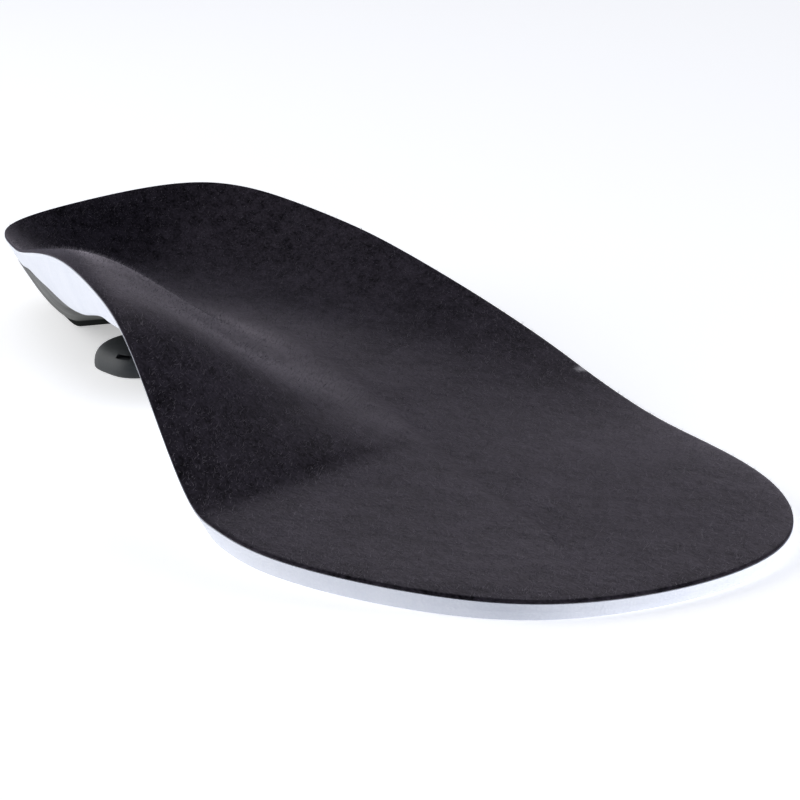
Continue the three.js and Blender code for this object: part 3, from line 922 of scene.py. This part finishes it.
class InsoleArchPiece(bpy.types.Operator):
    """Builds the arch piece under the bridge, with the slot in its nose"""

    bl_idname = "insole.arch_piece"
    bl_label = "Arch piece"

    def execute(self, context):
        colours = context.scene.insole_colours
        material = moulded_plastic_material(
            "moulded_urethane",
            colours.arch_grey,
            colours.arch_flow_and_grain_shade,
            ARCH_GRAIN_SIZE,
            ARCH_ROUGHNESS,
            ARCH_GLOSS,
        )
        lines = arch_lines(context.scene.insole_sizes)
        plug = add_piece("arch_plug", lines, True, "arch_piece", material)
        cut_slot(plug)
        return {"FINISHED"}


# The floor's size, its lines each way, how far it lies below the insole, and a faint glow that keeps it
# white. Lengths on the stage are in metres.
FLOOR_SIZE = 12.0
FLOOR_LINES = 9
FLOOR_DROP = 0.02 * MM
FLOOR_GLOW = 0.46

# The sky: the side that its light comes from, behind the heel and towards the arch side, where its light
# starts and stops growing towards that side, and its strengths in front, where it is dim and cool, and
# behind.
SKY_SIDE = (-0.45, 0.88, 0.1)
SKY_NEAR = 0.0
SKY_FAR = 0.8
SKY_FRONT_STRENGTH = 0.26
SKY_BACK_STRENGTH = 1.1

# Two lamps: a broad one above, behind the arch side, and a small low one beyond the outer side of the
# toe. Each has a power in watts, a width, a place and a point that it is aimed at.
KEY_POWER = 4.5
KEY_SIZE = 0.9
KEY_PLACE = (-0.78, 0.45, 0.45)
KEY_AIM = (0.0, 0.0, 0.0)
SIDE_POWER = 1.5
SIDE_SIZE = 0.12
SIDE_PLACE = (0.34, -0.38, 0.05)
SIDE_AIM = (0.0, -0.1, 0.0)


def studio_world(colours):
    """A soft studio all round: its light grows by an even S from the front to the side it comes from."""
    world = bpy.data.worlds.new("studio")
    world.use_nodes = True
    tree = world.node_tree
    tree.nodes.clear()
    way = add_node(tree, "ShaderNodeTexCoord").outputs["Generated"]
    facing = add_node(tree, "ShaderNodeVectorMath", {0: way, 1: SKY_SIDE}, operation="DOT_PRODUCT")
    share = add_node(
        tree,
        "ShaderNodeMapRange",
        {"Value": facing.outputs["Value"], "From Min": SKY_NEAR, "From Max": SKY_FAR},
        interpolation_type="SMOOTHSTEP",
    )
    front = [channel * SKY_FRONT_STRENGTH for channel in colours.sky_front]
    back = [channel * SKY_BACK_STRENGTH for channel in colours.sky_back]
    sky = mix_colours(tree, share.outputs["Result"], (*front, 1), (*back, 1))
    light = add_node(tree, "ShaderNodeBackground", {"Color": sky, "Strength": 1.0})
    add_node(tree, "ShaderNodeOutputWorld", {"Surface": light.outputs["Background"]})
    return world


def add_lamp(name, place, aim, size, power):
    """A round soft lamp at a place, turned to what it is aimed at."""
    lamp = bpy.data.lights.new(name, "AREA")
    lamp.shape = "DISK"
    lamp.size = size
    lamp.energy = power
    holder = bpy.data.objects.new(name, lamp)
    bpy.context.scene.collection.objects.link(holder)
    turn = (Vector(place) - Vector(aim)).to_track_quat("Z", "Y").to_matrix().to_4x4()
    holder.matrix_world = Matrix.Translation(place) @ turn


def camera_matrix():
    """The camera's turn and place in the frame, from its yaw, pitch and roll in the foot's own axes."""
    flat = np.array([-np.sin(CAMERA_YAW), -np.cos(CAMERA_YAW), 0])
    forward = flat * np.cos(CAMERA_PITCH) - np.array([0, 0, np.sin(CAMERA_PITCH)])
    level = np.array([-np.cos(CAMERA_YAW), np.sin(CAMERA_YAW), 0])
    upright = np.cross(level, forward)
    right = level * np.cos(CAMERA_ROLL) + upright * np.sin(CAMERA_ROLL)
    up = upright * np.cos(CAMERA_ROLL) - level * np.sin(CAMERA_ROLL)
    matrix = np.eye(4)
    half_round = np.array([-1, -1, 1])
    matrix[:3, 0] = right * half_round
    matrix[:3, 1] = up * half_round
    matrix[:3, 2] = -forward * half_round
    matrix[:3, 3] = to_frame(np.array(CAMERA_PLACE))
    return Matrix(matrix.tolist())


class InsoleStage(bpy.types.Operator):
    """Builds the pale floor, the soft light and the camera of the photograph"""

    bl_idname = "insole.stage"
    bl_label = "Stage"

    def execute(self, context):
        scene = context.scene
        side = np.linspace(-FLOOR_SIZE / 2, FLOOR_SIZE / 2, FLOOR_LINES)
        x, y = np.meshgrid(side, side)
        points = np.stack([x, y, np.full_like(x, -FLOOR_DROP)], -1)
        faces = grid_faces(np.arange(x.size).reshape(x.shape))
        mesh = bpy.data.meshes.new("floor")
        mesh.from_pydata(points.reshape(-1, 3).tolist(), [], faces)
        material, tree, _ = new_material("studio_floor")
        inputs = {
            "Base Color": (*scene.insole_colours.floor_pale, 1),
            "Roughness": 0.9,
            "Specular IOR Level": 0.1,
            "Emission Color": (*scene.insole_colours.floor_pale, 1),
            "Emission Strength": FLOOR_GLOW,
        }
        end_material(tree, inputs)
        mesh.materials.append(material)
        floor = bpy.data.objects.new("floor", mesh)
        scene.collection.objects.link(floor)

        scene.world = studio_world(scene.insole_colours)
        scene.view_settings.view_transform = "Standard"

        add_lamp("key", KEY_PLACE, KEY_AIM, KEY_SIZE, KEY_POWER)
        add_lamp("side", SIDE_PLACE, SIDE_AIM, SIDE_SIZE, SIDE_POWER)

        lens = bpy.data.cameras.new("camera")
        lens.lens = CAMERA_LENS
        lens.sensor_width = SENSOR_WIDTH
        lens.clip_start = CAMERA_NEAR
        camera = bpy.data.objects.new("camera", lens)
        scene.collection.objects.link(camera)
        camera.matrix_world = camera_matrix()
        scene.camera = camera
        return {"FINISHED"}


STEPS = (InsoleStage, InsoleFoamBed, InsoleTopCover, InsoleHeelShell, InsoleArchPiece)


class InsolePanel(bpy.types.Panel):
    """Lists the insole's pieces, sizes and colours"""

    bl_idname = "VIEW3D_PT_insole"
    bl_label = "Cycling insole"
    bl_space_type = "VIEW_3D"
    bl_region_type = "UI"
    bl_category = "Insole"

    def draw(self, context):
        for step in STEPS:
            self.layout.operator(step.bl_idname)
        for group in (context.scene.insole_sizes, context.scene.insole_colours):
            for name in group.bl_rna.properties.keys():
                if name not in ("rna_type", "name"):
                    self.layout.prop(group, name)


CLASSES = (InsoleSizes, InsoleColours, *STEPS, InsolePanel)


def register():
    """Registers the classes, and gives the scene its sizes and colours."""
    for item in CLASSES:
        bpy.utils.register_class(item)
    bpy.types.Scene.insole_sizes = bpy.props.PointerProperty(type=InsoleSizes)
    bpy.types.Scene.insole_colours = bpy.props.PointerProperty(type=InsoleColours)


def unregister():
    """Takes away what register gave."""
    del bpy.types.Scene.insole_colours
    del bpy.types.Scene.insole_sizes
    for item in reversed(CLASSES):
        bpy.utils.unregister_class(item)


def main():
    """Builds the stage and the pieces in order."""
    register()
    bpy.ops.insole.stage()
    bpy.ops.insole.foam_bed()
    bpy.ops.insole.top_cover()
    bpy.ops.insole.heel_shell()
    bpy.ops.insole.arch_piece()


if __name__ == "__main__":
    main()
